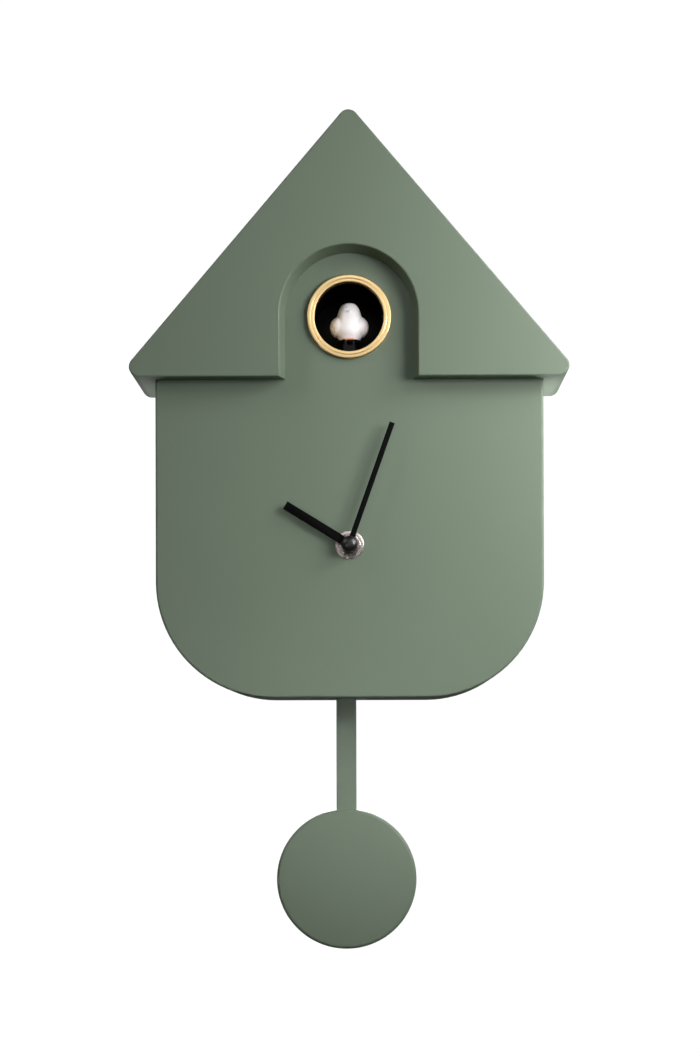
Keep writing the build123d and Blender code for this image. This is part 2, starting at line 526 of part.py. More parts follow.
# sockets for the button, the switch and the volume wheel
pcb += prism(Pos(-76, -103) * rect(-3, 3, -3, 3), -12.5, -9.4) + prism(Pos(-56, -103) * rect(-6, 6, -2.6, 2.6), -12.5, -8.2)
pcb += prism(Pos(-36, -103) * rect(-5.5, 5.5, -5.5, 5.5), -12.5, -8.4)
pcb -= cyl(-76, -103, 1.62, -10.9, -9)
pcb -= prism(Pos(-56, -103) * rect(-5.1, 5.1, -1.3, 1.3), -10.2, -8)
pcb -= cyl(-36, -103, 1.55, -10.9, -8)
parts["sound_board"] = pcb
parts["test_button"] = cyl(-76, -103, 3.1, -6.8, -0.4) + cyl(-76, -103, 1.5, -9.8, -6.7)
parts["mode_switch"] = prism(Pos(-56, -103) * rect(-2.0, 2.0, -1.0, 1.0), -10.0, -7.9) \
    + prism(Pos(-56, -103) * rect(-2.0, 2.0, -2.0, 2.0, 0.3), -8.0, -0.4)
vk = prism(Pos(-36, -103) * gear(18, 0.54, 0.35, 0.35, 0.0, 0.0), -7.4, -0.4) + cyl(-36, -103, 1.5, -10.8, -7.3)
parts["volume_knob"] = vk - box(-40, -36, -1.0, 0, -103.5, -102.5)

bb = prism(rect(22, 78, -170, -122, 1.5), -20, -2.55)
bb -= prism(rect(23.4, 76.6, -168.6, -123.4, 1.0), -18.5, 0)
bb += box(23.0, 77.0, -19.0, -16.0, -154.1, -153.1) + box(23.0, 77.0, -19.0, -16.0, -138.9, -137.9)
parts["battery_box"] = bb
cells, contacts = [], []
for i, z in enumerate((-161.1, -146.0, -130.9)):
    d = 1 if i % 2 == 0 else -1
    x0, x1 = (25.3, 73.8) if d > 0 else (26.2, 74.7)
    cell = cyl_x(-10.9, z, 7.2, x0, x1)
    cell += cyl_x(-10.9, z, 2.7, x1 - .1, x1 + 1.2) if d > 0 else cyl_x(-10.9, z, 2.7, x0 - 1.2, x0 + .1)
    cells.append(cell)
    for side in (-1, 1):
        xw = 23.4 if side < 0 else 76.6
        plate = box(xw if side < 0 else xw - .4, xw + .4 if side < 0 else xw, -16.5, -5.2, z - 5, z + 5)
        if side == -d:
            # conical spring against the flat end, drawn as a closed cone
            gap0, gap1 = (23.7, 25.3) if side < 0 else (74.7, 76.3)
            cone = cyl_x(-10.9, z, 4.4, gap0, (gap0 + gap1) / 2) + cyl_x(-10.9, z, 3.0, gap0, gap1) if side < 0 else \
                cyl_x(-10.9, z, 4.4, (gap0 + gap1) / 2, gap1) + cyl_x(-10.9, z, 3.0, gap0, gap1)
            plate += cone
        else:
            px0, px1 = (23.7, 25.0) if side < 0 else (75.0, 76.3)
            plate += cyl_x(-10.9, z, 1.6, px0, px1)
        contacts.append(plate)
parts["cells"] = group(cells)
parts["battery_contacts"] = group(contacts)

# ---------------------------------------------------------------- pendulum
P = PEND_X
br = prism(rect(P - 9.5, P + 9.5, -136.5, -123.5, 1.5), -47.35, -46.35) + cyl(P, PIVOT_Z, 2.6, -46.4, -45.6)
for x, z in BRACKET_SCREWS:
    br -= cyl(P + x, z, 0.9, -48, -45)
br -= cyl(P, PIVOT_Z, 1.21, -48, -45)
parts["pendulum_bracket"] = br
parts["pivot_pin"] = cyl(P, PIVOT_Z, 1.2, -47.3, -40.0) + cyl(P, PIVOT_Z, 2.2, -40.4, -39.6)
parts["drive_coil"] = tube(P, -158, 7.0, 2.6, -47.35, -45.8)
arm = prism(Pos(P, (PIVOT_Z - 173) / 2) * Rot(0, 0, 90) * SlotOverall(PIVOT_Z + 173 + 4, 8.0), -43.0, -41.0)
arm += cyl(P, PIVOT_Z, 3.6, -45.4, -40.6)
arm -= cyl(P, PIVOT_Z, 1.2 + RUN + 0.01, -50, -35)
arm += cyl(P, -169, 1.5, -41.5, -36.2) + cyl(P, -169, 2.3, -36.6, -35.8)
parts["pendulum_arm"] = arm
parts["drive_magnet"] = cyl(P, -158, 3.5, -45.3, -43.0)
rod = prism(rect(P - ROD_W / 2, P + ROD_W / 2, -290, -163.5, 0) , ROD_Y0, ROD_Y1)
rod = chamfer(rod.edges().filter_by(Axis.Z), 0.35)
rod -= cyl(P, -169, 1.6, -45, -30)
parts["pendulum_rod"] = rod
# the disc's front is slightly crowned
bob_sk = make_face(Line((0, BOB_Y0), (0, BOB_Y1)) + Line((0, BOB_Y1), (BOB_R, BOB_Y1)) + Line((BOB_R, BOB_Y1), (BOB_R, BOB_Y0 + BOB_CROWN))
                   + Spline((BOB_R, BOB_Y0 + BOB_CROWN), (BOB_R / 2, BOB_Y0 + BOB_CROWN / 4), (0, BOB_Y0),
                            tangents=[(-1, -2 * BOB_CROWN / BOB_R), (-1, 0)]))
bob = Pos(P, 0, BOB_Z) * revolve(bob_sk, axis=Axis.Y)
bob = fillet(bob.edges().filter_by(lambda e: e.length > 200), 1.4)
bob -= box(P - ROD_W / 2, P + ROD_W / 2, ROD_Y0, ROD_Y1, -290, -270)
parts["pendulum_bob"] = bob

# ---------------------------------------------------------------- output
os.makedirs("parts", exist_ok=True)
for name, shape in parts.items():
    export_step(shape, f"parts/{name}.step")
print(len(parts), "nodes")
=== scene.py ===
import json
import math

import bmesh
import bpy
import numpy as np
from mathutils import Matrix, Vector


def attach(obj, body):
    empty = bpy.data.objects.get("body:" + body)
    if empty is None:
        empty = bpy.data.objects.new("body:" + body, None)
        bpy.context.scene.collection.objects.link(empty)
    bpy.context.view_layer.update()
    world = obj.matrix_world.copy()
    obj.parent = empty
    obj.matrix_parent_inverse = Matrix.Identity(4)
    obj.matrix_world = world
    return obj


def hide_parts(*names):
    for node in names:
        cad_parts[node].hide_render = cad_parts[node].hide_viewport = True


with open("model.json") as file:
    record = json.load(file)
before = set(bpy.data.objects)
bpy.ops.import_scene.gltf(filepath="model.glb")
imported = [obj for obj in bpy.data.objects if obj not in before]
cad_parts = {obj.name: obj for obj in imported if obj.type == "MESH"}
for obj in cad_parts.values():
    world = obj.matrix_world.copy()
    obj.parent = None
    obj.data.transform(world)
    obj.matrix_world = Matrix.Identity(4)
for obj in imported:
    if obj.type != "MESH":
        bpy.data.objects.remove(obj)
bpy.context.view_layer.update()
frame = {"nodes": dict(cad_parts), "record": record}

nodes = frame["nodes"]
scene = bpy.context.scene
scene.view_settings.view_transform = "Standard"
scene.view_settings.look = "None"
scene.view_settings.exposure = 0.0
scene.view_settings.gamma = 1.0

MM = 0.001
RING_Z, DIAL_Z = -0.0378, -0.150
PEND_X, BOB_Z = -0.0022, -0.3154


# ------------------------------------------------------------------ camera
def make_camera():
    cam = bpy.data.cameras.new("camera")
    ob = bpy.data.objects.new("camera", cam)
    scene.collection.objects.link(ob)
    pitch, yaw, roll = math.radians(0.271), math.radians(-0.583), math.radians(-0.155)
    fwd = Vector((math.sin(yaw) * math.cos(pitch), math.cos(yaw) * math.cos(pitch), math.sin(pitch)))
    right = Vector((math.cos(yaw), -math.sin(yaw), 0.0))
    up = right.cross(fwd)
    r2 = math.cos(roll) * right + math.sin(roll) * up
    u2 = -math.sin(roll) * right + math.cos(roll) * up
    m = Matrix((r2, u2, -fwd)).transposed().to_4x4()
    m.translation = Vector((0.0143, -1.430, -0.2519))
    ob.matrix_world = m
    cam.sensor_fit = "AUTO"
    cam.sensor_width = 36.0
    cam.lens = 2771.3 / 1056 * 36
    cam.shift_x, cam.shift_y = -0.0010, 0.20
    cam.clip_start, cam.clip_end = 0.05, 30
    cam.dof.use_dof = False
    scene.camera = ob


make_camera()


# ------------------------------------------------------------------ materials
def node(nt, kind, **kw):
    n = nt.nodes.new(kind)
    for k, v in kw.items():
        setattr(n, k, v)
    return n


def mix_rgb(nt, fac, a, b, blend="MIX"):
    n = node(nt, "ShaderNodeMix", data_type="RGBA", blend_type=blend)
    for sock, v in ((0, fac), (6, a), (7, b)):
        if isinstance(v, bpy.types.NodeSocket):
            nt.links.new(v, n.inputs[sock])
        elif isinstance(v, (int, float)):
            n.inputs[sock].default_value = v
        else:
            n.inputs[sock].default_value = (*v, 1.0)
    return n.outputs[2]


def map_range(nt, src, lo, hi, a=0.0, b=1.0):
    n = node(nt, "ShaderNodeMapRange")
    nt.links.new(src, n.inputs[0])
    n.inputs[1].default_value, n.inputs[2].default_value = a, b
    n.inputs[3].default_value, n.inputs[4].default_value = lo, hi
    return n.outputs[0]


def noise_tex(nt, vec, scale, detail=3.0, rough=0.55):
    n = node(nt, "ShaderNodeTexNoise")
    nt.links.new(vec, n.inputs["Vector"])
    n.inputs["Scale"].default_value = scale
    n.inputs["Detail"].default_value = detail
    n.inputs["Roughness"].default_value = rough
    return n.outputs["Fac"]


def material(name, base, rough=0.4, metal=0.0, vary=0.05, blotch=25.0, grain=1200.0, grain_h=0.00002,
             rough_vary=0.05, edge_wear_and_shade=0.10, edge_wear_and_shade_col=None, coat=0.0, coat_rough=0.08, brushed=None,
             centre=None, sub=0.0, specular=0.5, edge_r=0.0004):
    """Procedural finish: slow blotches, fine grain in colour, roughness and bump, and an edge colour on rounded
    edges: lighter for rubbed wear, darker for painted edge shade.
    brushed: None, "x", "z" or "turned" (lathe lines about centre)."""
    m = bpy.data.materials.new(name)
    m.use_nodes = True
    nt = m.node_tree
    p = nt.nodes["Principled BSDF"]
    co = node(nt, "ShaderNodeTexCoord").outputs["Object"]
    slow = noise_tex(nt, co, blotch, 3.0)
    fine = noise_tex(nt, co, grain, 2.0, 0.6)
    if brushed in ("x", "z", "y"):
        mp = node(nt, "ShaderNodeMapping")
        nt.links.new(co, mp.inputs["Vector"])
        mp.inputs["Scale"].default_value = {"x": (0.03, 1, 1), "z": (1, 1, 0.03), "y": (1, 0.03, 1)}[brushed]
        lines = noise_tex(nt, mp.outputs["Vector"], grain, 2.0, 0.7)
    elif brushed == "turned":
        sub_v = node(nt, "ShaderNodeVectorMath", operation="SUBTRACT")
        nt.links.new(co, sub_v.inputs[0])
        sub_v.inputs[1].default_value = centre
        mul = node(nt, "ShaderNodeVectorMath", operation="MULTIPLY")
        nt.links.new(sub_v.outputs[0], mul.inputs[0])
        mul.inputs[1].default_value = (1, 0, 1)
        ln = node(nt, "ShaderNodeVectorMath", operation="LENGTH")
        nt.links.new(mul.outputs[0], ln.inputs[0])
        sep = node(nt, "ShaderNodeSeparateXYZ")
        nt.links.new(co, sep.inputs[0])
        cb = node(nt, "ShaderNodeCombineXYZ")
        nt.links.new(ln.outputs["Value"], cb.inputs[0])
        nt.links.new(sep.outputs[1], cb.inputs[1])
        lines = noise_tex(nt, cb.outputs[0], grain, 2.0, 0.7)
    else:
        lines = fine
    dark = tuple(c * (1 - vary) for c in base)
    lite = tuple(min(1.0, c * (1 + vary)) for c in base)
    col = mix_rgb(nt, map_range(nt, slow, 0, 1, 0.3, 0.7), dark, lite)
    col = mix_rgb(nt, map_range(nt, lines, 0.0, 0.35, 0.35, 0.65), col, tuple(c * (1 - vary * 1.2) for c in base))
    bev = None
    # edge mask from the Bevel node's rounded normal, made patchy by the slow noise; a lighter edge colour is rubbed
    # wear, and the darker case green paints shade along every rounded edge
    if edge_wear_and_shade:
        geo = node(nt, "ShaderNodeNewGeometry")
        bev = node(nt, "ShaderNodeBevel", samples=4)
        bev.inputs["Radius"].default_value = edge_r
        dot = node(nt, "ShaderNodeVectorMath", operation="DOT_PRODUCT")
        nt.links.new(geo.outputs["Normal"], dot.inputs[0])
        nt.links.new(bev.outputs["Normal"], dot.inputs[1])
        edge = map_range(nt, dot.outputs["Value"], 1.0, 0.0, 0.80, 0.985)
        mul = node(nt, "ShaderNodeMath", operation="MULTIPLY")
        nt.links.new(edge, mul.inputs[0])
        nt.links.new(map_range(nt, slow, 0.4 * edge_wear_and_shade, edge_wear_and_shade, 0.35, 0.6), mul.inputs[1])
        wc = edge_wear_and_shade_col or tuple(min(1.0, c * 1.25 + 0.02) for c in base)
        col = mix_rgb(nt, mul.outputs[0], col, wc)
    nt.links.new(col, p.inputs["Base Color"])
    r = node(nt, "ShaderNodeMath", operation="ADD")
    nt.links.new(map_range(nt, slow, rough - rough_vary, rough + rough_vary, 0.3, 0.7), r.inputs[0])
    nt.links.new(map_range(nt, lines, -rough_vary * 0.6, rough_vary * 0.6, 0.3, 0.7), r.inputs[1])
    nt.links.new(r.outputs[0], p.inputs["Roughness"])
    bump = node(nt, "ShaderNodeBump")
    bump.inputs["Strength"].default_value = 1.0
    bump.inputs["Distance"].default_value = grain_h
    nt.links.new(lines, bump.inputs["Height"])
    if bev:
        nt.links.new(bev.outputs["Normal"], bump.inputs["Normal"])
    nt.links.new(bump.outputs["Normal"], p.inputs["Normal"])
    p.inputs["Metallic"].default_value = metal
    p.inputs["Specular IOR Level"].default_value = specular
    p.inputs["Coat Weight"].default_value = coat
    p.inputs["Coat Roughness"].default_value = coat_rough
    if sub:
        p.inputs["Subsurface Weight"].default_value = sub
        p.inputs["Subsurface Radius"].default_value = (0.002, 0.0016, 0.0014)
        p.inputs["Subsurface Scale"].default_value = 1.0
    return m


def srgb(r, g, b):
    def f(c):
        c /= 255
        return c / 12.92 if c <= 0.04045 else ((c + 0.055) / 1.055) ** 2.4
    return (f(r), f(g), f(b))


GREEN = srgb(112, 127, 108)
# darker green for the rounded edges of case and pendulum: painted edge shade, patchy like rubbed wear
EDGE_SHADE_GREEN = srgb(84, 97, 80)
M = {
    # case and pendulum greens: their darker edge colour paints shade along the rounded edges
    "case_green": material("case_green", GREEN, rough=0.47, vary=0.018, blotch=16, grain=2600, grain_h=0.000012, rough_vary=0.03, edge_wear_and_shade=0.22, edge_wear_and_shade_col=EDGE_SHADE_GREEN, edge_r=0.0005),
    "pendulum_green": material("pendulum_green", GREEN, rough=0.47, vary=0.02, blotch=22, grain=2600, grain_h=0.000012, rough_vary=0.03, edge_wear_and_shade=0.22, edge_wear_and_shade_col=EDGE_SHADE_GREEN, edge_r=0.00012),
    "cover_black": material("cover_black", srgb(38, 39, 40), rough=0.55, vary=0.08, blotch=30, grain=1500, grain_h=0.00004, edge_wear_and_shade=0.25, edge_wear_and_shade_col=srgb(88, 88, 88)),
    "door_black": material("door_black", srgb(42, 43, 44), rough=0.5, vary=0.08, blotch=40, grain=1500, grain_h=0.00004, edge_wear_and_shade=0.25, edge_wear_and_shade_col=srgb(92, 92, 92)),
    "ring_gold": material("ring_gold", srgb(255, 219, 158), rough=0.30, metal=1.0, vary=0.03, blotch=120, grain=5200, grain_h=0.0000012, rough_vary=0.03, edge_wear_and_shade=0.10, edge_wear_and_shade_col=srgb(255, 230, 175), edge_r=0.0002, brushed="turned", centre=(0, 0, RING_Z)),
    "tunnel_black": material("tunnel_black", srgb(6, 6, 7), rough=0.42, vary=0.1, blotch=60, grain=1400, grain_h=0.000006, rough_vary=0.03, edge_wear_and_shade=0.03, specular=0.12),
    "bird_white": material("bird_white", srgb(252, 249, 252), rough=0.38, vary=0.010, blotch=150, grain=2500, grain_h=0.000010, rough_vary=0.03, edge_wear_and_shade=0.0, coat=0.25, coat_rough=0.2, sub=0.12),
    "bird_orange": material("bird_orange", srgb(226, 128, 52), rough=0.35, vary=0.06, blotch=300, grain=2500, grain_h=0.000010, edge_wear_and_shade=0.08, coat=0.2),
    "perch_black": material("perch_black", srgb(4, 4, 5), rough=0.18, vary=0.1, blotch=100, grain=1800, grain_h=0.000004, rough_vary=0.03, edge_wear_and_shade=0.03, specular=0.10),
    "hand_black": material("hand_black", srgb(5, 6, 5), rough=0.55, specular=0.06, vary=0.10, blotch=90, grain=3200, grain_h=0.000012, edge_wear_and_shade=0.12, edge_wear_and_shade_col=srgb(34, 34, 34)),
    "cap_black": material("cap_black", srgb(24, 20, 22), rough=0.33, vary=0.1, blotch=200, grain=2500, grain_h=0.000004, rough_vary=0.02, edge_wear_and_shade=0.04, specular=0.75),
    "nut_chrome": material("nut_chrome", srgb(228, 214, 212), rough=0.20, metal=1.0, vary=0.06, blotch=260, grain=4200, grain_h=0.000004, edge_wear_and_shade=0.08, brushed="turned", centre=(0, 0, DIAL_Z)),
    "washer_chrome": material("washer_chrome", srgb(224, 212, 206), rough=0.26, metal=1.0, vary=0.06, blotch=260, grain=4200, grain_h=0.000005, edge_wear_and_shade=0.08, brushed="turned", centre=(0, 0, DIAL_Z)),
    "bush_brass": material("bush_brass", srgb(206, 168, 98), rough=0.26, metal=1.0, vary=0.08, blotch=200, grain=3800, grain_h=0.000006, edge_wear_and_shade=0.1, brushed="turned", centre=(0, 0, DIAL_Z)),
    "gasket_rubber": material("gasket_rubber", srgb(26, 26, 26), rough=0.8, vary=0.1, blotch=90, grain=1800, grain_h=0.00003, edge_wear_and_shade=0.05),
    "movement_black": material("movement_black", srgb(34, 35, 36), rough=0.5, vary=0.08, blotch=50, grain=1600, grain_h=0.00003, edge_wear_and_shade=0.2, edge_wear_and_shade_col=srgb(84, 84, 84)),
    "gear_acetal": material("gear_acetal", srgb(226, 224, 214), rough=0.42, vary=0.03, blotch=120, grain=1800, grain_h=0.00001, edge_wear_and_shade=0.08, sub=0.15),
    "arbor_white": material("arbor_white", srgb(230, 228, 222), rough=0.40, vary=0.03, blotch=140, grain=1800, grain_h=0.00001, edge_wear_and_shade=0.08, sub=0.15),
    "knob_grey": material("knob_grey", srgb(92, 93, 95), rough=0.46, vary=0.06, blotch=120, grain=1700, grain_h=0.00003, edge_wear_and_shade=0.2, edge_wear_and_shade_col=srgb(140, 140, 140)),
    "spring_steel": material("spring_steel", srgb(190, 188, 184), rough=0.28, metal=1.0, vary=0.08, blotch=200, grain=3600, grain_h=0.00001, edge_wear_and_shade=0.1, brushed="x"),
    "stator_steel": material("stator_steel", srgb(160, 158, 152), rough=0.36, metal=1.0, vary=0.10, blotch=120, grain=3000, grain_h=0.00001, edge_wear_and_shade=0.1, brushed="x"),
    "magnet_dark": material("magnet_dark", srgb(62, 62, 66), rough=0.45, metal=0.6, vary=0.12, blotch=160, grain=2400, grain_h=0.00002, edge_wear_and_shade=0.12),
    "coil_copper": material("coil_copper", srgb(190, 108, 62), rough=0.30, metal=1.0, vary=0.12, blotch=160, grain=6500, grain_h=0.00004, edge_wear_and_shade=0.1, brushed="z"),
    "board_green": material("board_green", srgb(40, 92, 58), rough=0.35, vary=0.14, blotch=90, grain=1400, grain_h=0.00001, edge_wear_and_shade=0.12, edge_wear_and_shade_col=srgb(150, 140, 90), coat=0.3),
    "crystal_can": material("crystal_can", srgb(206, 206, 206), rough=0.25, metal=1.0, vary=0.05, blotch=240, grain=3500, grain_h=0.000005, edge_wear_and_shade=0.08, brushed="x"),
    "screw_zinc": material("screw_zinc", srgb(202, 198, 184), rough=0.28, metal=1.0, vary=0.10, blotch=180, grain=3200, grain_h=0.00001, edge_wear_and_shade=0.12),
    "rod_steel": material("rod_steel", srgb(200, 200, 200), rough=0.22, metal=1.0, vary=0.05, blotch=180, grain=4200, grain_h=0.000006, edge_wear_and_shade=0.08),
    "frame_grey": material("frame_grey", srgb(124, 125, 128), rough=0.5, vary=0.05, blotch=70, grain=1700, grain_h=0.00002, edge_wear_and_shade=0.15),
    "motor_can": material("motor_can", srgb(186, 185, 182), rough=0.26, metal=1.0, vary=0.07, blotch=120, grain=3200, grain_h=0.00001, edge_wear_and_shade=0.1, brushed="x"),
    "pinion_brass": material("pinion_brass", srgb(214, 176, 104), rough=0.26, metal=1.0, vary=0.07, blotch=200, grain=3600, grain_h=0.000008, edge_wear_and_shade=0.1),
    "speaker_steel": material("speaker_steel", srgb(52, 52, 54), rough=0.42, vary=0.08, blotch=80, grain=2000, grain_h=0.00002, edge_wear_and_shade=0.15),
    "cone_paper": material("cone_paper", srgb(58, 57, 56), rough=0.85, vary=0.16, blotch=180, grain=1500, grain_h=0.00006, edge_wear_and_shade=0.05),
    "ferrite": material("ferrite", srgb(64, 64, 68), rough=0.6, vary=0.14, blotch=120, grain=1900, grain_h=0.00003, edge_wear_and_shade=0.1),
    "battery_wrap": material("battery_wrap", srgb(124, 130, 138), rough=0.30, vary=0.05, blotch=60, grain=1800, grain_h=0.00001, edge_wear_and_shade=0.1, coat=0.4),
    "contact_nickel": material("contact_nickel", srgb(210, 206, 196), rough=0.24, metal=1.0, vary=0.08, blotch=160, grain=3200, grain_h=0.00001, edge_wear_and_shade=0.1),
}

slot_of = {s["node"]: s["material_slot"] for s in frame["record"]["subparts"]}
for n, o in nodes.items():
    o.data.materials.clear()
    o.data.materials.append(M[slot_of[n]])
    for poly in o.data.polygons:
        poly.use_smooth = True
    o.modifiers.new("weld", "WELD").merge_threshold = 1e-6
    split = o.modifiers.new("edges", "EDGE_SPLIT")
    split.split_angle = math.radians(28)
    split.use_edge_sharp = False
    flat = o.modifiers.new("flat_faces", "WEIGHTED_NORMAL")
    flat.mode = "FACE_AREA"
    flat.weight = 100


# ------------------------------------------------------------------ mesh helpers
def mesh_object(name, verts, faces, body, slot, replaces=(), smooth_deg=40.0):
    me = bpy.data.meshes.new(name)
    me.from_pydata([tuple(v) for v in verts], [], faces)
    me.update()
    bm = bmesh.new()
    bm.from_mesh(me)
    bmesh.ops.recalc_face_normals(bm, faces=bm.faces)
    bm.to_mesh(me)
    bm.free()
    ob = bpy.data.objects.new(name, me)
    scene.collection.objects.link(ob)
    me.materials.append(M[slot])
    for poly in me.polygons:
        poly.use_smooth = True
    me.set_sharp_from_angle(angle=math.radians(smooth_deg))
    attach(ob, body)
    if replaces:
        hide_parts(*replaces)
    return ob


def rounded(points, radii, steps=6):
    """Polygon (closed) with each corner rounded by an arc of its radius."""
    out = []
    n = len(points)
    for i, (p, r) in enumerate(zip(points, radii)):
        p = np.array(p, float)
        a = np.array(points[i - 1], float)
        b = np.array(points[(i + 1) % n], float)
        if r <= 0:
            out.append(tuple(p))
            continue
        u, v = a - p, b - p
        lu, lv = np.linalg.norm(u), np.linalg.norm(v)
        u, v = u / lu, v / lv
        ang = math.acos(max(-1, min(1, float(u @ v))))
        t = min(r / math.tan(ang / 2), lu * 0.499, lv * 0.499)
        rr = t * math.tan(ang / 2)
        c = p + (u + v) / np.linalg.norm(u + v) * (rr / math.sin(ang / 2))
        s0, s1 = p + u * t - c, p + v * t - c
        a0 = math.atan2(s0[1], s0[0])
        d = math.atan2(s1[1], s1[0]) - a0
        d = (d + math.pi) % (2 * math.pi) - math.pi
        for k in range(steps + 1):
            w = a0 + d * k / steps
            out.append((c[0] + rr * math.cos(w), c[1] + rr * math.sin(w)))
    return out


def lathe(name, profile, x, z, body, slot, replaces=(), segments=192, closed=True, smooth_deg=35.0):
    """Profile of (radius, y) in millimetres, turned about the Y axis through x, z (metres)."""
    verts, faces = [], []
    k = len(profile)
    for s in range(segments):
        a = 2 * math.pi * s / segments
        for r, y in profile:
            verts.append((x + r * MM * math.cos(a), y * MM, z + r * MM * math.sin(a)))
    for s in range(segments):
        t = (s + 1) % segments
        for i in range(k if closed else k - 1):
            j = (i + 1) % k
            faces.append((s * k + i, s * k + j, t * k + j, t * k + i))
    ob = mesh_object(name, verts, faces, body, slot, replaces, smooth_deg)
    bm = bmesh.new()
    bm.from_mesh(ob.data)
    bmesh.ops.remove_doubles(bm, verts=bm.verts, dist=1e-7)
    bmesh.ops.recalc_face_normals(bm, faces=bm.faces)
    bm.to_mesh(ob.data)
    bm.free()
    for poly in ob.data.polygons:
        poly.use_smooth = True
    ob.data.set_sharp_from_angle(angle=math.radians(smooth_deg))
    return ob


def plate(name, outline, y0, y1, body, slot, replaces=(), bevel=0.12, holes=None):
    """Closed outline of (x, z) in millimetres as a plate from y0 to y1 (millimetres), with bevelled rims."""
    n = len(outline)
    bm = bmesh.new()
    f = [bm.verts.new((px * MM, y0 * MM, pz * MM)) for px, pz in outline]
    face = bm.faces.new(f)
    ext = bmesh.ops.extrude_face_region(bm, geom=[face])
    vs = [g for g in ext["geom"] if isinstance(g, bmesh.types.BMVert)]
    bmesh.ops.translate(bm, vec=(0, (y1 - y0) * MM, 0), verts=vs)
    bmesh.ops.recalc_face_normals(bm, faces=bm.faces)
    me = bpy.data.meshes.new(name)
    bm.to_mesh(me)
    bm.free()
    ob = bpy.data.objects.new(name, me)
    scene.collection.objects.link(ob)
    cutters = []
    for hx, hz, hr in holes or ():
        hb = bmesh.new()
        bmesh.ops.create_cone(hb, cap_ends=True, segments=64, radius1=hr * MM, radius2=hr * MM, depth=(abs(y1 - y0) + 2) * MM)
        bmesh.ops.transform(hb, matrix=Matrix.Translation((hx * MM, (y0 + y1) / 2 * MM, hz * MM)) @ Matrix.Rotation(math.pi / 2, 4, "X"), verts=hb.verts)
        hm = bpy.data.meshes.new("cut")
        hb.to_mesh(hm)
        hb.free()
        cut = bpy.data.objects.new("cut", hm)
        scene.collection.objects.link(cut)
        bo = ob.modifiers.new("hole", "BOOLEAN")
        bo.operation, bo.solver, bo.object = "DIFFERENCE", "EXACT", cut
        cutters.append(cut)
    if bevel:
        b = ob.modifiers.new("bevel", "BEVEL")
        b.width = bevel * MM
        b.segments = 3
        b.limit_method = "ANGLE"
        b.angle_limit = math.radians(35)
        b.harden_normals = False
    me.materials.append(M[slot])
    for poly in me.polygons:
        poly.use_smooth = True
    dg = bpy.context.evaluated_depsgraph_get()
    new = bpy.data.meshes.new_from_object(ob.evaluated_get(dg))
    ob.modifiers.clear()
    ob.data = new
    for cut in cutters:
        bpy.data.objects.remove(cut)
    new.set_sharp_from_angle(angle=math.radians(50))
    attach(ob, body)
    if replaces:
        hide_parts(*replaces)
    return ob


# ------------------------------------------------------------------ doorway ring
ring_profile = rounded(
    [(17.05, -63.9), (17.05, -70.5), (18.5, -70.5), (18.72, -70.42), (18.94, -70.5), (20.65, -70.5),
     (20.65, -68.0), (18.5, -68.0), (18.5, -63.9)],
    [0.15, 0.32, 0.3, 0.3, 0.3, 0.42, 0.10, 0.1, 0.15], 8)
ring = lathe("doorway_ring", ring_profile, 0, RING_Z, "case", "ring_gold", ["cuckoo_ring"], 256, True, 50)

# ------------------------------------------------------------------ hands
def hand_outline(length, width, deg, hub, seg=72):
    w = width / 2
    a0 = math.asin(w / hub)
    pts = [(-w, length), (w, length)]
    pts = rounded([(-w, length), (w, length), (w, 0), (-w, 0)], [0.12, 0.12, 0, 0], 3)[:8]
    out = [p for p in pts]
    # round the hub, clockwise from the bar's right side to its left side
    start = math.pi / 2 - a0
    end = math.pi / 2 + a0 - 2 * math.pi
    for k in range(seg + 1):
        t = start + (end - start) * k / seg
        out.append((hub * math.cos(t), hub * math.sin(t)))
    c, s = math.cos(math.radians(-deg)), math.sin(math.radians(-deg))
    return [(x * c - y * s, x * s + y * c - 150.0) for x, y in out]


plate("hour_hand_blade", hand_outline(37.0, 4.35, 301.6, 3.9), -72.6, -72.0, "hour", "hand_black", [], 0.13, [(0, -150.0, 2.51)])
lathe("hour_hand_collar", rounded([(2.51, -73.0), (3.3, -73.0), (3.3, -71.4), (2.51, -71.4)], [0.05, 0.12, 0.12, 0.05], 4),
      0, DIAL_Z, "hour", "hand_black", ["hour_hand"], 96)
plate("minute_hand_blade", hand_outline(63.1, 2.65, 19.5, 3.6), -74.9, -74.3, "minute", "hand_black", ["minute_hand"], 0.13, [(0, -150.0, 1.62)])

cap = [(0.001, -78.7)]
for k in range(1, 25):
    t = math.pi / 2 * k / 24
    cap.append((0.5 + 3.53 * math.sin(t), -76.1 - 2.6 * math.cos(t)))
cap += [(4.03, -75.15), (3.9, -74.92), (0.001, -74.92)]
lathe("hand_cap_dome", cap, 0, DIAL_Z, "minute", "cap_black", ["hand_cap"], 128, False, 50)

# washer with a rolled rim
lathe("fixing_washer", rounded([(4.0, -68.7), (7.1, -68.7), (7.1, -68.0), (4.0, -68.0)], [0.05, 0.32, 0.05, 0.05], 5),
      0, DIAL_Z, "case", "washer_chrome", ["washer"], 160)

# ------------------------------------------------------------------ pendulum bob, turned from one disc
R, y0, y1, crown = 35.0, -42.4, -34.0, 1.0
bob_profile = [(max(0.001, R * k / 24), y0 + crown * (k / 24) ** 2) for k in range(23)]
bob_profile += rounded([bob_profile[-1], (R, y0 + crown), (R, y1), (30, y1)], [0, 1.5, 1.0, 0], 10)[1:-1]
bob_profile += [(r, y1) for r in (30, 24, 16, 8)] + [(0.001, y1)]
lathe("pendulum_disc", bob_profile, PEND_X, BOB_Z, "pendulum", "pendulum_green", ["pendulum_bob"], 256, False, 60)


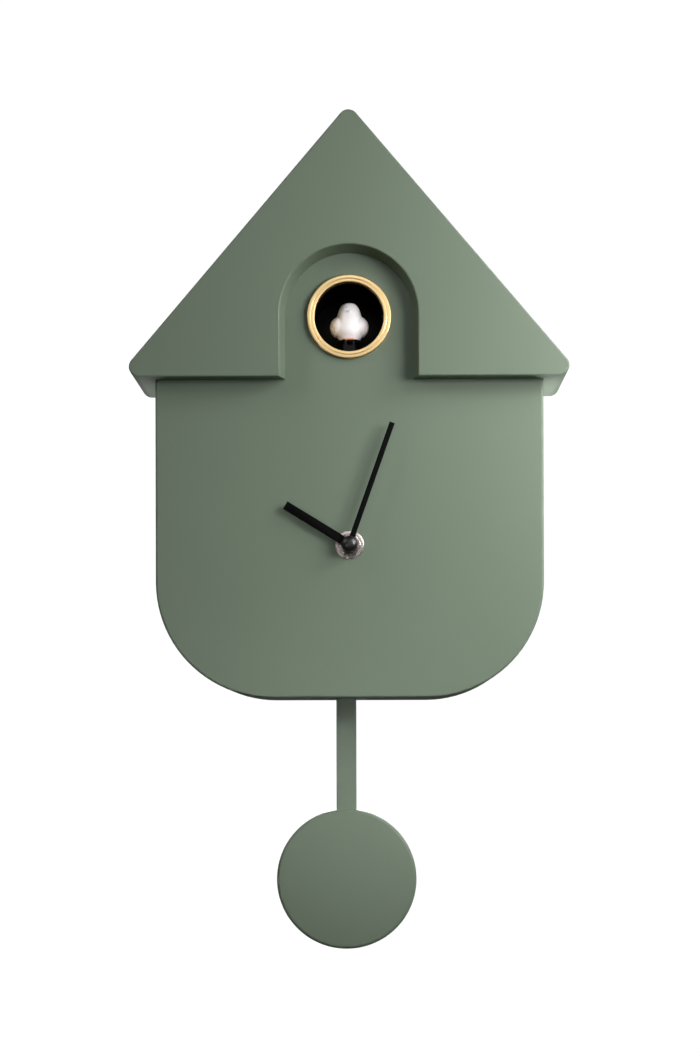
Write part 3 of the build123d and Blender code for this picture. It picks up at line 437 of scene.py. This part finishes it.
# ------------------------------------------------------------------ the bird, one moulded figure
def blob(cx, cy, cz, rx, ry, rz, rot=None, seg=48):
    bm = bmesh.new()
    bmesh.ops.create_uvsphere(bm, u_segments=seg, v_segments=seg // 2, radius=1.0)
    m = Matrix.Translation((cx, cy, cz))
    if rot:
        m = m @ Matrix.Rotation(math.radians(rot[0]), 4, rot[1])
    m = m @ Matrix.Diagonal((rx, ry, rz, 1))
    bmesh.ops.transform(bm, matrix=m, verts=bm.verts)
    return bm


def bell(by, profile, depth, seg=72):
    """Body of revolution about the upright axis: (half width, z) in millimetres, its front-to-back size scaled by
    depth.
    """
    bm = bmesh.new()
    rings = []
    for r, z in profile:
        rings.append([bm.verts.new((r * math.cos(2 * math.pi * k / seg), by + depth * r * math.sin(2 * math.pi * k / seg), z))
                      for k in range(seg)])
    for lo_ring, hi_ring in zip(rings, rings[1:]):
        for k in range(seg):
            j = (k + 1) % seg
            bm.faces.new((lo_ring[k], lo_ring[j], hi_ring[j], hi_ring[k]))
    bm.faces.new(rings[0][::-1])
    bm.faces.new(rings[-1])
    return bm


def make_bird():
    """Blobs in millimetres about the doorway's centre; the front faces -Y."""
    by = -57.0
    outline = [(5.15, -10.6), (5.5, -9.6), (6.15, -8.6), (6.85, -7.2), (7.2, -5.6), (7.2, -4.0), (7.0, -2.2), (6.6, -0.6),
               (6.25, 0.8), (5.95, 2.2), (5.6, 3.6), (5.15, 4.9), (4.6, 6.1), (3.85, 7.2), (2.8, 8.05), (1.5, 8.45), (0.4, 8.55)]
    shapes = [
        bell(by, outline, 1.0),
        blob(0, by + 0.2, -3.7, 9.0, 7.0, 5.3),                # breast, wide across the wings
        blob(-4.75, by + 0.4, -3.5, 4.95, 6.1, 5.4, (9, "Y")),            # wings
        blob(4.75, by + 0.4, -3.5, 4.95, 6.1, 5.4, (-9, "Y")),
        blob(0, by - 5.35, 3.5, 1.15, 0.9, 0.75),              # short beak
        blob(0, by + 9.5, -0.6, 2.9, 6.2, 1.3, (14, "X")),     # tail
        blob(0, by + 6.0, -3.6, 5.0, 5.0, 4.6),                # rump
    ]
    me = bpy.data.meshes.new("bird_parts")
    full = bmesh.new()
    for b in shapes:
        tmp = bpy.data.meshes.new("t")
        b.to_mesh(tmp)
        b.free()
        full.from_mesh(tmp)
        bpy.data.meshes.remove(tmp)
    full.to_mesh(me)
    full.free()
    ob = bpy.data.objects.new("bird_figure", me)
    scene.collection.objects.link(ob)
    rm = ob.modifiers.new("skin", "REMESH")
    rm.mode = "VOXEL"
    rm.voxel_size = 0.22
    sm = ob.modifiers.new("soften", "SMOOTH")
    sm.factor = 0.5
    sm.iterations = 20
    dg = bpy.context.evaluated_depsgraph_get()
    new = bpy.data.meshes.new_from_object(ob.evaluated_get(dg))
    ob.modifiers.clear()
    ob.data = new
    new.name = "bird_figure"
    # flat foot, then into place in metres
    co = np.zeros(len(new.vertices) * 3)
    new.vertices.foreach_get("co", co)
    co = co.reshape(-1, 3)
    co[:, 2] = np.maximum(co[:, 2], -10.0)
    co[:, 2] += RING_Z * 1000
    co *= MM
    new.vertices.foreach_set("co", co.ravel())
    new.update()
    for poly in new.polygons:
        poly.use_smooth = True
    new.materials.clear()
    new.materials.append(M["bird_white"])
    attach(ob, "bird")
    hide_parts("bird_body", "bird_wings")
    return ob


make_bird()

# ------------------------------------------------------------------ stage and light
def quad(name, verts, mat):
    me = bpy.data.meshes.new(name)
    me.from_pydata(verts, [], [tuple(range(len(verts)))])
    ob = bpy.data.objects.new(name, me)
    scene.collection.objects.link(ob)
    me.materials.append(mat)
    return ob


pale = bpy.data.materials.new("pale_stage")
pale.use_nodes = True
pb = pale.node_tree.nodes["Principled BSDF"]
pb.inputs["Base Color"].default_value = (0.90, 0.90, 0.90, 1)
pb.inputs["Roughness"].default_value = 0.9
pb.inputs["Emission Color"].default_value = (1, 1, 1, 1)
pb.inputs["Emission Strength"].default_value = 0.74
white = bpy.data.materials.new("white_backdrop")
white.use_nodes = True
wb = white.node_tree.nodes["Principled BSDF"]
wb.inputs["Base Color"].default_value = (0, 0, 0, 1)
wb.inputs["Specular IOR Level"].default_value = 0.0
wb.inputs["Emission Color"].default_value = (1, 1, 1, 1)
wb.inputs["Emission Strength"].default_value = 1.04


def stage_object(name, bm, mat):
    me = bpy.data.meshes.new(name)
    bm.to_mesh(me)
    bm.free()
    ob = bpy.data.objects.new(name, me)
    scene.collection.objects.link(ob)
    me.materials.append(mat)
    return ob


def make_stage():
    """Pale floor far below the clock and a white dome round it; neither throws light back on the clock."""
    bm = bmesh.new()
    bmesh.ops.create_grid(bm, x_segments=1, y_segments=1, size=5.0)
    bmesh.ops.translate(bm, vec=(0, 0, -1.45), verts=bm.verts)
    ground = stage_object("floor", bm, pale)
    for flag in ("visible_diffuse", "visible_glossy", "visible_transmission", "visible_volume_scatter"):
        setattr(ground, flag, False)
    bm = bmesh.new()
    bmesh.ops.create_uvsphere(bm, u_segments=48, v_segments=24, radius=7.5)
    dome = stage_object("backdrop", bm, white)
    for flag in ("visible_diffuse", "visible_glossy", "visible_transmission", "visible_volume_scatter", "visible_shadow"):
        setattr(dome, flag, False)


make_stage()

world = bpy.data.worlds.new("world")
scene.world = world
world.use_nodes = True
world.node_tree.nodes["Background"].inputs["Color"].default_value = (1, 1, 1, 1)
world.node_tree.nodes["Background"].inputs["Strength"].default_value = 0.0


def area(name, loc, target, w, h, power, spread=180):
    l = bpy.data.lights.new(name, "AREA")
    l.shape = "RECTANGLE"
    l.size, l.size_y = w, h
    l.energy = power
    l.spread = math.radians(spread)
    o = bpy.data.objects.new(name, l)
    scene.collection.objects.link(o)
    o.location = loc
    o.rotation_mode = "QUATERNION"
    o.rotation_quaternion = (Vector(target) - Vector(loc)).to_track_quat("-Z", "Y")
    return o


# soft pools of light from the right front, level with the roof's eaves and above
area("key_level", (0.35, -0.50, -0.03), (0.35, 0.0, -0.08), 0.20, 0.10, 1.36)
area("key_wide", (0.55, -0.50, -0.05), (0.55, 0.0, -0.05), 0.20, 0.20, 1.78)
area("key_close", (0.35, -0.25, 0.15), (0.0, -0.07, -0.13), 0.12, 0.20, 0.42)
area("key_side", (0.60, -0.15, 0.10), (0.0, -0.07, -0.13), 0.15, 0.20, 0.72)
area("key_upper", (0.35, -0.50, 0.18), (0.22, 0.0, -0.10), 0.20, 0.20, 0.211, 60)
area("key_outer", (0.55, -0.35, 0.15), (0.22, 0.0, -0.10), 0.20, 0.20, 0.210, 60)
area("key_top", (0.50, -0.55, 0.28), (0.22, 0.0, -0.10), 0.20, 0.20, 0.048, 60)
area("front_right", (0.50, -1.75, 0.05), (0.0, -0.07, -0.13), 0.70, 0.40, 0.42)
# weaker fill from the left, and a narrow low light for the lower dial and the pendulum
area("fill_left", (-0.60, -0.50, 0.20), (-0.60, 0.0, 0.20), 0.24, 0.24, 1.28)
area("fill_left_high", (-0.60, -0.50, 0.50), (-0.60, 0.0, 0.50), 0.24, 0.24, 1.75)
area("low_left", (-0.35, -0.80, -0.36), (-0.06, -0.07, -0.20), 0.15, 0.15, 0.012, 22)
area("low_rod", (0.03, -0.95, -0.45), (-0.002, -0.04, -0.262), 0.10, 0.10, 0.008, 12)
# card mirrored by the gold ring
area("front_card", (0.06, -1.75, 0.31), (0.0, -0.07, -0.13), 0.70, 0.42, 1.7)
# the white wall's glow from behind, and low rim lights
area("wall_glow", (0.0, 0.30, -0.55), (0.0, -1.0, -0.55), 1.6, 1.4, 0.9)
area("rim_right", (0.165, 0.10, -0.36), (0.114, -0.03, -0.06), 0.08, 0.08, 0.040, 20)
area("rim_left", (-0.165, 0.10, -0.36), (-0.114, -0.03, -0.06), 0.08, 0.08, 0.011, 20)
# a soft light on the back cover only
area("back_soft", (0.0, 0.90, -0.11), (0.0, 0.0, -0.11), 0.17, 0.17, 6.0)
